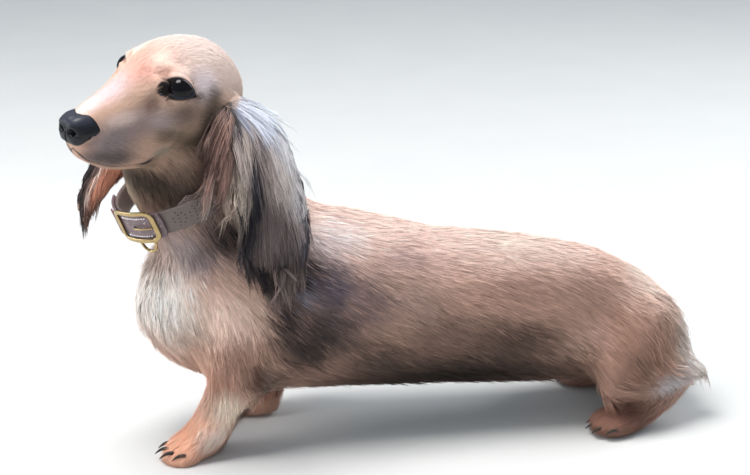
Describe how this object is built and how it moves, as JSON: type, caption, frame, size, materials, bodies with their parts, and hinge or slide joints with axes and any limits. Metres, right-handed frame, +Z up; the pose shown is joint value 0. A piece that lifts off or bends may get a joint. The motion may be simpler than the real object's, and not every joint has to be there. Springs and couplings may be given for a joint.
{
  "type": "dachshund",
  "caption": "Life-size long-haired miniature dachshund, crouching with its head raised and turned, wearing a buckled collar.",
  "frame": {"origin": "on the floor, under the middle of the whole model's box", "axes": "+X from the nose end towards the rump, +Y to the dog's right, +Z up"},
  "size_m": [0.4538, 0.1834, 0.2952],
  "materials": {
    "coat": "cream and apricot hair, charcoal behind the ears",
    "ear_coat": "long hair, taupe with black edges",
    "eye": "wet, very dark brown",
    "nose_leather": "moist black",
    "claw": "black horn",
    "strap_leather": "rose-grey with a fine glitter",
    "gold": "polished, gold coloured"
  },
  "bodies": {
    "root": {"claw_fore_left_1": "claw", "claw_fore_left_2": "claw", "claw_fore_left_3": "claw", "claw_fore_left_4": "claw", "claw_fore_right_1": "claw", "claw_fore_right_2": "claw", "claw_fore_right_3": "claw", "claw_fore_right_4": "claw", "claw_hind_left_1": "claw", "claw_hind_left_2": "claw", "claw_hind_left_3": "claw", "claw_hind_left_4": "claw", "claw_hind_right_1": "claw", "claw_hind_right_2": "claw", "claw_hind_right_3": "claw", "claw_hind_right_4": "claw", "collar_buckle": "gold", "collar_keeper": "strap_leather", "collar_prong": "gold", "collar_ring": "gold", "collar_strap": "strap_leather", "collar_tongue": "strap_leather", "ear_left": "ear_coat", "ear_right": "ear_coat", "eye_left": "eye", "eye_right": "eye", "foreleg_left": "coat", "foreleg_right": "coat", "forepaw_left": "coat", "forepaw_right": "coat", "head": "coat", "hindleg_left": "coat", "hindleg_right": "coat", "hindpaw_left": "coat", "hindpaw_right": "coat", "neck": "coat", "nose": "nose_leather", "tail": "coat", "trunk": "coat"}
  },
  "joints": []
}
